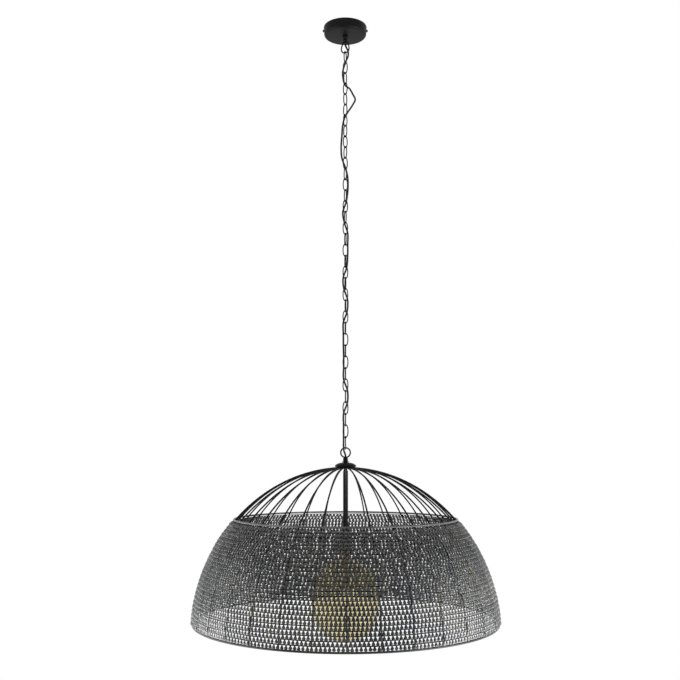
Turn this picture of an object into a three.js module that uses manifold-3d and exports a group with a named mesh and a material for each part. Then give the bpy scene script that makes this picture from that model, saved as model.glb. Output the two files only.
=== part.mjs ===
// Beaded dome chandelier: a ceiling canopy, an oval link chain with its flex threaded along it, and a wide
// welded wire dome whose lower part is strung with rows of small drop beads round one large globe bulb.
// Millimetres, +Z up. The origin is on the ceiling plane, on the lamp's axis, so all of it hangs at negative z.
import * as THREE from "three";
import { mergeVertices } from "three/addons/utils/BufferGeometryUtils.js";
import Module from "manifold-3d";

const wasm = await Module();
wasm.setup();

// Shared fit
const clearance = 0.3;
const overrun = 5;

// Ceiling canopy
const canopyDiameter = 120;
const canopyHeight = 26;
const canopyWall = 1.2;
const canopyCorner = 7;
const canopyDraft = 1.2;
const bracketWidth = 20;
const bracketThickness = 2;
const bracketTab = 17;
const bracketSlotLength = 14;
const bracketSlotWidth = 5;
const bracketSlotSpacing = 58;
const sideScrewDrop = 10;
const sideScrewShank = 4;
const sideScrewHead = 8;
const sideScrewHeadHeight = 3.4;
const sideScrewReach = 9;
const terminalLength = 30;
const terminalDepth = 14;
const terminalHeight = 11;
const terminalBore = 3.4;
const terminalWays = 3;

// Canopy loop, a pear ring on a bored stem, with the nut that clamps the canopy's floor to it
const canopyLoopWire = 3.8;
const canopyLoopWidth = 28;
const canopyLoopLength = 38.4;
const canopyLoopPearShare = 0.36;
const canopyLoopTurn = -25;
const canopyCollarDiameter = 16;
const canopyCollarHeight = 4.5;
const canopyNeckDiameter = 12;
const canopyNeckLength = 10.5;
const stemThread = 10;
const nutAcrossFlats = 16;
const nutHeight = 4;
const threadEnd = 2;

// Chain
const linkCount = 36;
const linkWire = 3;
const linkLength = 36.7;
const linkWidth = 16;
const linkEndShares = [
  [1, 0.45],
  [0.53, 0.905],
  [0, 1],
  [-0.53, 0.905],
  [-1, 0.45],
];
const chainEndTurn = -90;

// Flex, from the terminal block down the chain and the stem to the lampholder
const flexDiameter = 5;
const flexBore = 6.2;

// Shade loop and hub
const shadeLoopWire = 3.9;
const shadeLoopWidth = 29;
const shadeNeckDiameter = 13;
const shadeNeckHeight = 11.5;
const loopNutDiameter = 17.3;
const loopNutHeight = 3;
const hubCapDiameter = 57;
const hubCapHeight = 11;
const hubCapWall = 1.4;
const hubPlateDiameter = 50;
const hubPlateThickness = 3.6;

// Stem, lampholder and bulb
const threadShown = 6.5;
const threadInTube = 14;
const stemDiameter = 13;
const stemWall = 1.2;
const stemLength = 155;
const holderDiameter = 36;
const holderWall = 2.6;
const holderCapHeight = 19;
const holderBodyHeight = 42;
const holderFloor = 3;
const holderSocketDepth = 11;
const bulbCapDiameter = 26.4;
const bulbCapLength = 25;
const bulbCapTip = 4.5;
const bulbThreadPitch = 3.6;
const bulbThreadDepth = 0.9;
const globeDiameter = 174;
const globeCrown = 120;
const globePower = 2.4;
const bulbGlass = 1.6;
const bulbNeckDiameter = 27;
const bulbNeckLength = 21;
const filamentPost = 7;
const filamentLength = 74;
const filamentWheel = 26;
const filamentRod = 2;
const filamentRods = 6;

// Wire dome
const ribCount = 32;
const ribWire = 4;
const ringWire = 5;
const ringWeld = 1;
const frameRadius = 388;
const frameHeight = 387.5;
const domePower = 1.84;
const hubRibRadius = 20;
const upperRingDrop = 134.5;
const ribTail = 4;

// Bead skirt
const beadRows = 26;
const beadDepth = 5;
const beadTopShare = 0.34;
const beadBulgeShare = 0.68;
const beadFootShare = 0.96;

const ironBlack = new THREE.MeshStandardMaterial({ color: 0x1c1c1d, roughness: 0.5, metalness: 0.3 });
const bracketSteel = new THREE.MeshStandardMaterial({ color: 0x9a9c9e, roughness: 0.4, metalness: 0.9 });
const porcelain = new THREE.MeshStandardMaterial({ color: 0xe8e4da, roughness: 0.4, metalness: 0 });
const holderPlastic = new THREE.MeshStandardMaterial({ color: 0x151515, roughness: 0.45, metalness: 0 });
const flexCover = new THREE.MeshStandardMaterial({ color: 0x121213, roughness: 0.75, metalness: 0 });
const beadGlaze = new THREE.MeshStandardMaterial({ color: 0x3a3c40, roughness: 0.25, metalness: 0.4 });
const bulbAmber = new THREE.MeshStandardMaterial({ color: 0xd8a64a, roughness: 0.05, metalness: 0 });
const capNickel = new THREE.MeshStandardMaterial({ color: 0xb9b6ae, roughness: 0.3, metalness: 1 });

const lamp = new THREE.Group();

// A closed geometry with position only and its shared vertices merged.
function weld(geometry) {
  const bare = geometry.clone();
  for (const attribute of ["normal", "uv"]) bare.deleteAttribute(attribute);
  return mergeVertices(bare, 1e-4);
}

function solidOf(geometry) {
  const merged = weld(geometry);
  return new wasm.Manifold(
    new wasm.Mesh({
      numProp: 3,
      vertProperties: merged.attributes.position.array,
      triVerts: new Uint32Array(merged.index.array),
    }),
  );
}

function geometryOf(solid) {
  const made = solid.getMesh();
  const geometry = new THREE.BufferGeometry();
  geometry.setAttribute("position", new THREE.BufferAttribute(made.vertProperties, 3));
  geometry.setIndex(new THREE.BufferAttribute(made.triVerts, 1));
  return geometry;
}

const joined = (...geometries) => geometryOf(geometries.map(solidOf).reduce((a, b) => a.add(b)));
const cut = (body, ...tools) => geometryOf(tools.map(solidOf).reduce((a, b) => a.subtract(b), solidOf(body)));

function piece(name, geometry, material, parent = lamp) {
  const mesh = new THREE.Mesh(geometry, material);
  mesh.name = name;
  parent.add(mesh);
  return mesh;
}

// A solid of revolution about Z: the profile's points are [radius, z], and it closes on itself.
function turned(profile, segments) {
  const points = [...profile, profile[0]].map(([r, z]) => new THREE.Vector2(r, z));
  return new THREE.LatheGeometry(points, segments).rotateX(Math.PI / 2);
}

function upright(radius, bottom, top, segments) {
  const rod = new THREE.CylinderGeometry(radius, radius, top - bottom, segments);
  return rod.rotateX(Math.PI / 2).translate(0, 0, (top + bottom) / 2);
}

// A line given by a function of its share from 0 to 1, with its rings where the function's own steps are.
class DrawnLine extends THREE.Curve {
  constructor(at) {
    super();
    this.at = at;
  }
  getPoint(share) {
    return this.at(share);
  }
  getUtoTmapping(share) {
    return share;
  }
}

function polygon(diameter, sides) {
  const corner = (i) => {
    const angle = (2 * Math.PI * i) / sides;
    return new THREE.Vector2(Math.cos(angle), Math.sin(angle)).multiplyScalar(diameter / 2);
  };
  return new THREE.Shape(Array.from({ length: sides }, (_, i) => corner(i)));
}

const wireAlong = (line, diameter, sides, steps) =>
  new THREE.ExtrudeGeometry(polygon(diameter, sides), { steps, bevelEnabled: false, extrudePath: line });

const hexNut = (acrossFlats, bore, bottom, height) => {
  const outline = polygon(acrossFlats / Math.cos(Math.PI / 6), 6);
  outline.holes.push(new THREE.Path().absarc(0, 0, bore / 2, 0, 2 * Math.PI, true));
  const nut = new THREE.ExtrudeGeometry(outline, { depth: height, bevelEnabled: false, curveSegments: 6 });
  return nut.translate(0, 0, bottom);
};

// Ceiling canopy: a folded steel strap on the ceiling, and a pressed cup held to its tabs by two side screws.
const canopyRadius = canopyDiameter / 2;
const canopyFloor = -canopyHeight;
const canopyFootRadius = canopyRadius - canopyDraft;
const stemHole = stemThread + 2 * clearance;
const canopyFacets = 28;

const wallRadiusAt = (z) => canopyRadius + (canopyDraft * z) / canopyHeight;

function canopyProfile() {
  const outer = [[stemHole / 2, canopyFloor]];
  const steps = 3;
  for (let i = 0; i <= steps; i++) {
    const angle = (Math.PI / 2) * (i / steps);
    outer.push([
      canopyFootRadius - canopyCorner * (1 - Math.sin(angle)),
      canopyFloor + canopyCorner * (1 - Math.cos(angle)),
    ]);
  }
  outer.push([canopyRadius, 0]);
  const inner = [[canopyRadius - canopyWall, 0]];
  const inside = canopyCorner - canopyWall;
  for (let i = steps; i >= 0; i--) {
    const angle = (Math.PI / 2) * (i / steps);
    inner.push([
      canopyFootRadius - canopyCorner + inside * Math.sin(angle),
      canopyFloor + canopyCorner - inside * Math.cos(angle),
    ]);
  }
  inner.push([stemHole / 2, canopyFloor + canopyWall]);
  return [...outer, ...inner];
}

const sideScrewHole = sideScrewShank + 2 * clearance;
const acrossX = (geometry) => geometry.rotateY(Math.PI / 2);
const screwBore = acrossX(upright(sideScrewHole / 2, -canopyRadius - overrun, canopyRadius + overrun, 8));
screwBore.translate(0, 0, -sideScrewDrop);

piece("canopy_cup", cut(turned(canopyProfile(), canopyFacets), screwBore), ironBlack);

const flatRadius = wallRadiusAt(-bracketTab) * Math.cos(Math.PI / canopyFacets) - canopyWall - clearance;
const tabFace = Math.sqrt(flatRadius ** 2 - (bracketWidth / 2) ** 2);

function ceilingBracket() {
  const side = new THREE.Shape();
  const bend = bracketThickness;
  side.moveTo(-tabFace, -bracketTab);
  side.lineTo(-tabFace, -bend);
  side.absarc(-tabFace + bend, -bend, bend, Math.PI, Math.PI / 2, true);
  side.lineTo(tabFace - bend, 0);
  side.absarc(tabFace - bend, -bend, bend, Math.PI / 2, 0, true);
  side.lineTo(tabFace, -bracketTab);
  side.lineTo(tabFace - bracketThickness, -bracketTab);
  side.lineTo(tabFace - bracketThickness, -bracketThickness);
  side.lineTo(-tabFace + bracketThickness, -bracketThickness);
  side.lineTo(-tabFace + bracketThickness, -bracketTab);
  const strap = new THREE.ExtrudeGeometry(side, { depth: bracketWidth, bevelEnabled: false, curveSegments: 3 });
  strap.rotateX(Math.PI / 2).translate(0, bracketWidth / 2, 0);
  const slot = new THREE.Shape();
  const slotRun = (bracketSlotLength - bracketSlotWidth) / 2;
  slot.absarc(slotRun, 0, bracketSlotWidth / 2, -Math.PI / 2, Math.PI / 2, false);
  slot.absarc(-slotRun, 0, bracketSlotWidth / 2, Math.PI / 2, (3 * Math.PI) / 2, false);
  const slots = [-1, 1].map((sign) => {
    const tool = new THREE.ExtrudeGeometry(slot, { depth: 2 * overrun, bevelEnabled: false, curveSegments: 4 });
    return tool.translate((sign * bracketSlotSpacing) / 2, 0, -overrun);
  });
  return cut(strap, ...slots, screwBore);
}

piece("ceiling_bracket", ceilingBracket(), bracketSteel);

// Side screws: domed heads on the cup's wall, shanks through the wall and into the bracket's tabs.
function sideScrew(sign) {
  const seat = wallRadiusAt(-sideScrewDrop) + clearance;
  const profile = [
    [0, seat - sideScrewReach],
    [sideScrewShank / 2, seat - sideScrewReach],
    [sideScrewShank / 2, seat],
    [sideScrewHead / 2, seat],
    [sideScrewHead / 2, seat + sideScrewHeadHeight / 2],
    [sideScrewHead / 3, seat + sideScrewHeadHeight],
    [0, seat + sideScrewHeadHeight],
  ];
  const screw = turned(profile, 10);
  return screw.rotateY((sign * Math.PI) / 2).translate(0, 0, -sideScrewDrop);
}

piece("side_screw_left", sideScrew(-1), ironBlack);
piece("side_screw_right", sideScrew(1), ironBlack);

// Terminal block: barrels side by side under the strap, each bored through for its conductor.
const terminalTop = -bracketThickness - clearance;
const terminalBottom = terminalTop - terminalHeight;

function terminalBlock() {
  const pitch = terminalLength / terminalWays;
  const outline = new THREE.Shape();
  outline.moveTo(-terminalLength / 2, terminalTop);
  outline.lineTo(-terminalLength / 2, terminalBottom + pitch / 2);
  for (let way = 0; way < terminalWays; way++) {
    const centre = (way + 0.5) * pitch - terminalLength / 2;
    outline.absarc(centre, terminalBottom + pitch / 2, pitch / 2, Math.PI, 2 * Math.PI, false);
    const bore = new THREE.Path().absarc(centre, terminalBottom + pitch / 2, terminalBore / 2, 0, 2 * Math.PI, true);
    outline.holes.push(bore);
  }
  outline.lineTo(terminalLength / 2, terminalTop);
  const block = new THREE.ExtrudeGeometry(outline, { depth: terminalDepth, bevelEnabled: false, curveSegments: 5 });
  return block.rotateX(Math.PI / 2).translate(0, terminalDepth / 2, 0);
}

piece("terminal_block", terminalBlock(), porcelain);

// Canopy loop: the stem rises through the cup's floor, and the flex comes down its bore.
const floorTop = canopyFloor + canopyWall;
const nutBottom = floorTop + clearance;
const collarTop = canopyFloor - clearance;
const neckTop = collarTop - canopyCollarHeight;
const neckBottom = neckTop - canopyNeckLength;
const canopyRingTop = neckBottom + canopyLoopWire / 2;
const canopyRingHalf = (canopyLoopLength - canopyLoopWire) / 2;
const canopyRingBottom = canopyRingTop - 2 * canopyRingHalf;

const pearRing = new DrawnLine((share) => {
  const angle = 2 * Math.PI * share;
  const half = (canopyLoopWidth - canopyLoopWire) / 2;
  const narrowing = 1 - canopyLoopPearShare * Math.cos(angle);
  return new THREE.Vector3(
    (half * Math.sin(angle) * narrowing) / (1 + canopyLoopPearShare / 4),
    0,
    canopyRingTop - canopyRingHalf * (1 - Math.cos(angle)),
  );
});

function canopyLoop() {
  const stem = turned(
    [
      [0, nutBottom + nutHeight + threadEnd],
      [0, neckBottom],
      [canopyNeckDiameter / 2 - threadEnd / 2, neckBottom],
      [canopyNeckDiameter / 2, neckBottom + threadEnd],
      [canopyNeckDiameter / 2, neckTop - threadEnd],
      [canopyCollarDiameter / 2, neckTop],
      [canopyCollarDiameter / 2, collarTop],
      [stemThread / 2, collarTop],
      [stemThread / 2, nutBottom + nutHeight + threadEnd],
    ],
    16,
  );
  const ring = new THREE.TubeGeometry(pearRing, 16, canopyLoopWire / 2, 6, true);
  const bore = upright(flexBore / 2, canopyRingTop - canopyRingHalf, 0, 12);
  return cut(joined(stem, ring), bore);
}

piece("canopy_loop", canopyLoop(), ironBlack).rotation.z = THREE.MathUtils.degToRad(canopyLoopTurn);
piece("loop_locknut", hexNut(nutAcrossFlats, stemHole, nutBottom, nutHeight), ironBlack);

// Chain: each oval link hangs on the one above, turned a quarter and a little more, so that the chain
// twists from the canopy loop's plane to the shade loop's.
const linkSpan = linkLength - linkWire;
const linkPitch = linkSpan - linkWire - clearance;
const loopToLink = (canopyLoopWire + linkWire) / 2 + clearance;
const firstLink = canopyRingBottom + loopToLink - linkSpan / 2;
const lastLink = firstLink - linkPitch * (linkCount - 1);

// A link's oval, one end and then the other, in shares of its half width and half length.
const linkCorners = [...linkEndShares, ...linkEndShares.map(([across, along]) => [-across, -along])];

const linkLine = new DrawnLine((share) => {
  const step = Math.floor(share * linkCorners.length);
  const part = share * linkCorners.length - step;
  const [from, to] = [step, step + 1].map((i) => {
    const [across, along] = linkCorners[i % linkCorners.length];
    return new THREE.Vector3((across * (linkWidth - linkWire)) / 2, 0, (along * (linkLength - linkWire)) / 2);
  });
  return from.lerp(to, part);
});

// Twist of the chain, in degrees, at a place counted in links: most of it is in the upper part.
function twistAt(place) {
  const share = place / (linkCount + 1);
  return canopyLoopTurn + (chainEndTurn - canopyLoopTurn) * (1 - (1 - share) ** 2);
}

const linkGeometry = new THREE.TubeGeometry(linkLine, linkCorners.length, linkWire / 2, 5, true);

for (let number = 1; number <= linkCount; number++) {
  const link = piece("chain_link_" + String(number).padStart(2, "0"), linkGeometry, ironBlack);
  link.position.z = firstLink - linkPitch * (number - 1);
  link.rotation.z = THREE.MathUtils.degToRad(twistAt(number) + 90 * number);
}

// Shade loop: a round ring on a bored neck, whose threaded shank goes down through the hub.
const shadeRingRadius = (shadeLoopWidth - shadeLoopWire) / 2;
const shadeRingTop = lastLink - linkSpan / 2 + (shadeLoopWire + linkWire) / 2 + clearance;
const shadeRingCentre = shadeRingTop - shadeRingRadius;
const shadeRingBottom = shadeRingCentre - shadeRingRadius;
const shadeNeckTop = shadeRingBottom + shadeLoopWire / 2;
const shadeNeckBottom = shadeNeckTop - shadeNeckHeight;
const loopNutTop = shadeNeckBottom - clearance;
const loopNutBottom = loopNutTop - loopNutHeight;
const hubCapTop = loopNutBottom - clearance;
const hubCapBottom = hubCapTop - hubCapHeight;
const hubPlateTop = hubCapBottom - clearance;
const hubPlateBottom = hubPlateTop - hubPlateThickness;
const stemTop = hubPlateBottom - threadShown;

function shadeLoop() {
  const neck = turned(
    [
      [0, shadeNeckTop],
      [0, stemTop - threadInTube],
      [stemThread / 2, stemTop - threadInTube],
      [stemThread / 2, shadeNeckBottom],
      [shadeNeckDiameter / 2, shadeNeckBottom],
      [shadeNeckDiameter / 2, shadeNeckTop - shadeNeckHeight / 2],
      [stemThread / 2, shadeNeckTop],
    ],
    16,
  );
  const ring = new THREE.TorusGeometry(shadeRingRadius, shadeLoopWire / 2, 6, 16);
  ring.rotateX(Math.PI / 2).translate(0, 0, shadeRingCentre);
  return cut(joined(neck, ring), upright(flexBore / 2, stemTop - threadInTube - overrun, shadeRingCentre, 12));
}

piece("shade_loop", shadeLoop(), ironBlack);

const collarRing = (outer, bore, bottom, top, segments) =>
  turned(
    [
      [bore / 2, bottom],
      [outer / 2, bottom],
      [outer / 2, top],
      [bore / 2, top],
    ],
    segments,
  );

piece("loop_nut", collarRing(loopNutDiameter, stemHole, loopNutBottom, loopNutTop, 16), ironBlack);

// Hub cap: a shallow pressed dome that covers the rib ends.
function hubCap() {
  const steps = 4;
  const arc = (inset) =>
    Array.from({ length: steps + 1 }, (_, i) => {
      const share = i / steps;
      const radius = stemHole / 2 + (hubCapDiameter / 2 - inset - stemHole / 2) * Math.sin((share * Math.PI) / 2);
      return [radius, hubCapBottom + (hubCapHeight - inset) * Math.cos((share * Math.PI) / 2)];
    });
  return turned([...arc(hubCapWall), ...arc(0).reverse()], 20);
}

piece("hub_cap", hubCap(), ironBlack);

// Wire dome: ribs of one bent curve from the hub plate to the bottom ring, given by an angle that is near 0
// at the hub and 90 degrees at the bottom ring. It is made in two weldments that meet under the upper ring.
const frameBase = hubPlateTop - hubPlateThickness / 2 - frameHeight;
const domeExponent = 2 / domePower;

function ribPoint(angle, offset = 0) {
  const radius = frameRadius * Math.sin(angle);
  const height = frameHeight * Math.max(Math.cos(angle), 0) ** domeExponent;
  const out = (2 * radius) / frameRadius ** 2;
  const up = (domePower * (height / frameHeight) ** (domePower - 1)) / frameHeight;
  const slope = Math.hypot(out, up);
  return [radius + (offset * out) / slope, frameBase + height + (offset * up) / slope];
}

const angleAtDrop = (drop) => Math.acos((1 - drop / frameHeight) ** (domePower / 2));
const hubAngle = Math.asin(hubRibRadius / frameRadius);
const upperRingAngle = angleAtDrop(upperRingDrop);
const upperTailAngle = angleAtDrop(upperRingDrop + ribTail);
const lowerRibAngle = angleAtDrop(upperRingDrop + ribTail + clearance);
const bottomAngle = Math.PI / 2;

function ribs(fromAngle, toAngle, steps) {
  const line = new DrawnLine((share) => {
    const [radius, z] = ribPoint(fromAngle + (toAngle - fromAngle) * share);
    return new THREE.Vector3(0, -radius, z);
  });
  const rib = wireAlong(line, ribWire, 4, steps);
  return Array.from({ length: ribCount }, (_, i) => rib.clone().rotateZ((2 * Math.PI * i) / ribCount));
}

const ringAt = (radius, z) => new THREE.TorusGeometry(radius, ringWire / 2, 5, ribCount).translate(0, 0, z);

function frameUpper() {
  const [ringRadius, ringHeight] = ribPoint(upperRingAngle, (ribWire + ringWire) / 2 - ringWeld);
  const plate = upright(hubPlateDiameter / 2, hubPlateBottom, hubPlateTop, 24);
  const welded = joined(plate, ringAt(ringRadius, ringHeight), ...ribs(hubAngle, upperTailAngle, 6));
  return cut(welded, upright(stemHole / 2, hubPlateBottom - overrun, hubPlateTop + overrun, 12));
}

const frameLower = () => joined(ringAt(frameRadius, frameBase), ...ribs(lowerRibAngle, bottomAngle, 3));

piece("frame_upper", frameUpper(), ironBlack);
piece("frame_lower", frameLower(), ironBlack);

// Bead skirt: rows of drop beads wound round the outside of the ribs, drawn tight from rib to rib, so each row is
// a polygon with its corners on the ribs. A row is widest near its foot, and it is open to the row above, where
// the drops narrow to their string.
const skirtSamples = 400;
const skirtFrom = angleAtDrop(upperRingDrop + ringWire);
const skirtLengths = [0];

for (let i = 1; i <= skirtSamples; i++) {
  const [r1, z1] = ribPoint(skirtFrom + ((bottomAngle - skirtFrom) * (i - 1)) / skirtSamples);
  const [r2, z2] = ribPoint(skirtFrom + ((bottomAngle - skirtFrom) * i) / skirtSamples);
  skirtLengths.push(skirtLengths[i - 1] + Math.hypot(r2 - r1, z2 - z1));
}

const skirtLength = skirtLengths[skirtSamples] - ringWire / 2 - clearance;

function skirtPoint(row, offset) {
  const along = (row / beadRows) * skirtLength;
  const after = skirtLengths.findIndex((length) => length >= along - clearance / skirtSamples);
  const before = Math.max(after - 1, 0);
  const step = after > before ? (along - skirtLengths[before]) / (skirtLengths[after] - skirtLengths[before]) : 0;
  return ribPoint(skirtFrom + ((bottomAngle - skirtFrom) * (before + step)) / skirtSamples, offset);
}

const skirtBack = ribWire / 2 + clearance;

// All of it is one unbroken winding: at the last rib of a row it steps down to the first rib of the next, and the
// lower band takes over just past the upper band's end.
function beadBand(firstRow, lastRow) {
  const corners = [];
  const addSection = (row, rib) => {
    const angle = Math.PI / 2 + (2 * Math.PI * rib) / ribCount;
    const section = [
      skirtPoint(row + beadTopShare, skirtBack),
      skirtPoint(row + beadFootShare, skirtBack),
      skirtPoint(row + beadBulgeShare, skirtBack + beadDepth),
    ];
    for (const [radius, z] of section) corners.push(radius * Math.cos(angle), radius * Math.sin(angle), z);
  };
  const lead = clearance / ((2 * Math.PI * frameRadius) / ribCount);
  if (firstRow > 0) addSection(firstRow - 1 + lead, lead - 1);
  for (let row = firstRow; row < lastRow; row++) for (let rib = 0; rib < ribCount; rib++) addSection(row, rib);
  const last = corners.length / 3 - 3;
  const faces = [0, 1, 2, last, last + 2, last + 1];
  for (let at = 0; at < last; at += 3) {
    for (let i = 0; i < 3; i++) {
      const beside = (i + 1) % 3;
      faces.push(at + i, at + 3 + i, at + 3 + beside, at + i, at + 3 + beside, at + beside);
    }
  }
  const winding = new THREE.BufferGeometry();
  winding.setAttribute("position", new THREE.Float32BufferAttribute(corners, 3));
  winding.setIndex(faces);
  return winding;
}

const bandRows = Math.round(beadRows / 2);
piece("bead_band_upper", beadBand(0, bandRows), beadGlaze);
piece("bead_band_lower", beadBand(bandRows, beadRows), beadGlaze);

// Stem tube, screwed on the shade loop's shank above and held in the lampholder's cap below.
const stemBottom = stemTop - stemLength;
const stemBore = stemDiameter - 2 * stemWall;
const holderCapTop = stemBottom + holderSocketDepth;
const holderCapBottom = holderCapTop - holderCapHeight;
const holderBodyTop = holderCapBottom - clearance;
const holderBodyBottom = holderBodyTop - holderBodyHeight;

piece("stem_tube", collarRing(stemDiameter, stemBore, stemBottom, stemTop, 16), ironBlack);

function holderCap() {
  const socket = stemDiameter / 2 + clearance;
  const shelf = stemBottom - clearance;
  const radius = holderDiameter / 2;
  return turned(
    [
      [flexBore / 2, shelf],
      [flexBore / 2, holderCapBottom],
      [radius, holderCapBottom],
      [radius, holderCapBottom + holderWall],
      [radius - holderWall / 2, shelf],
      [socket + 2 * holderWall, holderCapTop - holderWall],
      [socket + holderWall, holderCapTop],
      [socket, holderCapTop],
      [socket, shelf],
    ],
    16,
  );
}

function holderBody() {
  const radius = holderDiameter / 2;
  const inside = radius - holderWall;
  const skirtTop = holderBodyBottom + holderBodyHeight / 3;
  return turned(
    [
      [0, holderBodyTop],
      [0, holderBodyTop - holderFloor],
      [inside, holderBodyTop - holderFloor],
      [inside, holderBodyBottom],
      [radius, holderBodyBottom],
      [radius, skirtTop],
      [radius - holderWall / 3, skirtTop + holderWall / 3],
      [radius - holderWall / 3, holderBodyTop - holderWall],
      [radius, holderBodyTop - holderWall],
      [radius, holderBodyTop],
    ],
    16,
  );
}

piece("lampholder_cap", holderCap(), holderPlastic);
piece("lampholder_body", holderBody(), holderPlastic);

// Bulb: a screw cap with its contact tip up in the holder, an amber globe, and the filament cage inside.
const bulbTipTop = holderBodyTop - holderFloor - clearance;
const bulbCapTop = bulbTipTop - bulbCapTip;
const bulbCapBottom = bulbCapTop - bulbCapLength;
const globeRadius = globeDiameter / 2;
const globeCentre = holderBodyBottom - bulbNeckLength - globeCrown;

function bulbCap() {
  const crest = bulbCapDiameter / 2;
  const root = crest - bulbThreadDepth;
  const turns = Math.floor((bulbCapLength - bulbCapTip) / bulbThreadPitch);
  const profile = [
    [0, bulbTipTop],
    [0, bulbCapBottom],
    [crest, bulbCapBottom],
  ];
  for (let turn = 0; turn < turns; turn++) {
    const foot = bulbCapBottom + bulbCapTip / 2 + turn * bulbThreadPitch;
    profile.push([root, foot]);
    profile.push([crest, foot + bulbThreadPitch / 2]);
  }
  profile.push([root, bulbCapTop]);
  profile.push([crest / 3, bulbCapTop + bulbCapTip / 2]);
  profile.push([crest / 3, bulbTipTop]);
  return turned(profile, 10);
}

// The globe's crown is fuller than an ellipse, and below its widest place it is a hemisphere.
function globeProfile(inset) {
  const radius = globeRadius - inset;
  const crown = globeCrown - inset;
  const neck = bulbNeckDiameter / 2 - inset - clearance;
  const points = [
    [neck, bulbCapBottom - clearance],
    [neck, globeCentre + crown + bulbNeckDiameter / 8],
  ];
  const crownSteps = 5;
  const bowlSteps = 4;
  for (let i = 1; i <= crownSteps; i++) {
    const angle = ((Math.PI / 2) * (i - 0.2)) / (crownSteps - 0.2);
    const out = Math.sin(angle) ** (2 / globePower);
    points.push([radius * out, globeCentre + crown * Math.max(Math.cos(angle), 0) ** (2 / globePower)]);
  }
  for (let i = 1; i <= bowlSteps; i++) {
    const angle = ((Math.PI / 2) * i) / bowlSteps;
    points.push([i === bowlSteps ? 0 : radius * Math.cos(angle), globeCentre - radius * Math.sin(angle)]);
  }
  return points;
}

const bulbGlobe = () => turned([...globeProfile(bulbGlass), ...globeProfile(0).reverse()], 16);

function bulbFilament() {
  const top = bulbCapBottom - clearance;
  const foot = top - filamentLength;
  const wheelHeight = filamentRod;
  const cageTop = foot + filamentLength / 2;
  const ring = filamentWheel / 2 - filamentRod / 2;
  const rods = Array.from({ length: filamentRods }, (_, i) => {
    const rod = upright(filamentRod / 2, foot, cageTop, 4);
    return rod.translate(ring, 0, 0).rotateZ((2 * Math.PI * i) / filamentRods);
  });
  return joined(
    upright(filamentPost / 2, foot, top, 10),
    upright(filamentWheel / 2, foot - wheelHeight, foot, 12),
    upright(filamentWheel / 2, cageTop - wheelHeight / 2, cageTop + wheelHeight / 2, 12),
    ...rods,
  );
}

piece("bulb_cap", bulbCap(), capNickel);
piece("bulb_globe", bulbGlobe(), bulbAmber);
piece("bulb_filament", bulbFilament(), capNickel);

// Flex: straight down the canopy stem's bore, then threaded along the chain and in by the shade loop's neck.
// Where two links meet it lies in one of the four corners between their planes, counted in quarter turns
// anticlockwise, and it changes corner in front of or behind the open middle of a link.
const flexCorners = [
  -1, -2, -3, -4, -4, -3, -2, -2, -2, -2, -3, -4, -4, -3, -2, -1, 0, 0, 0, 1, 2, 3, 4, 5, 6, 6, 6, 7, 7, 7, 8, 8, 7,
  7, 7, 7,
];
const flexCornerRadius = 7.2;
const slackRadii = { 3.5: 8, 4: 12.5, 4.5: 21, 5: 27.5, 5.5: 21, 6.5: 9, 8.5: 9.5, 9.5: 11.5, 10.5: 9.5 };
const flexStart = [
  [-0.2, -1.2, -49],
  [2.6, -5.2, -60],
  [7.2, -8.2, -71],
  [8, -7.4, -86],
];
const flexEnd = [
  [-4.4, -4.4, -1171],
  [-3, -3, -1175.6],
  [-1.2, -1.2, -1180.4],
];
const flexEndRun = 8;
const flexLowLength = 36;
const flexStep = 13;
const flexSides = 6;

const placeHeight = (place) => firstLink - linkPitch * (place - 1);

function flexPoint(place, corner) {
  const angle = THREE.MathUtils.degToRad(45 + 90 * corner + twistAt(place));
  const radius = slackRadii[place] ?? flexCornerRadius;
  return new THREE.Vector3(radius * Math.cos(angle), radius * Math.sin(angle), placeHeight(place));
}

const flexTop = terminalBottom - clearance;
const flexBottom = holderBodyTop + clearance;

function flexLine() {
  const points = [flexTop, (flexTop + neckBottom) / 2, neckBottom].map((z) => new THREE.Vector3(0, 0, z));
  points.push(...flexStart.map((at) => new THREE.Vector3(...at)));
  flexCorners.forEach((corner, i) => {
    const place = i + 1.5;
    if (slackRadii[place - 0.5]) points.push(flexPoint(place - 0.5, corner));
    points.push(flexPoint(place, corner));
  });
  points.push(...flexEnd.map((at) => new THREE.Vector3(...at)));
  const neck = [shadeNeckTop + flexEndRun / 4, shadeNeckTop - flexEndRun, (shadeNeckTop + flexBottom) / 2, flexBottom];
  points.push(...neck.map((z) => new THREE.Vector3(0, 0, z)));
  return new THREE.CatmullRomCurve3(points, false, "centripetal");
}

const flexRoute = flexLine();
flexRoute.arcLengthDivisions = 2000;
const flexLength = flexRoute.getLength();

// Share of the flex's length at which it first comes down to a height.
function flexShareAt(height) {
  const samples = 2000;
  for (let i = 0; i <= samples; i++) if (flexRoute.getPointAt(i / samples).z <= height) return i / samples;
  return 1;
}

function flexPiece(name, from, to, steps) {
  const line = new DrawnLine((share) => flexRoute.getPointAt(from + (to - from) * share));
  piece(name, wireAlong(line, flexDiameter, flexSides, steps), flexCover);
}

const flexCuts = [
  0,
  flexShareAt(placeHeight(1)),
  flexShareAt(placeHeight(linkCount) + flexLowLength),
  flexShareAt(placeHeight(linkCount)),
  1,
];
const flexGap = clearance / flexLength / 2;
["flex_top", "flex_main", "flex_low", "flex_end"].forEach((name, i) => {
  const from = flexCuts[i] + (i > 0 ? flexGap : 0);
  const to = flexCuts[i + 1] - (i < 3 ? flexGap : 0);
  flexPiece(name, from, to, Math.ceil(((to - from) * flexLength) / flexStep));
});

export default lamp;
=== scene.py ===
import math
import random

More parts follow.
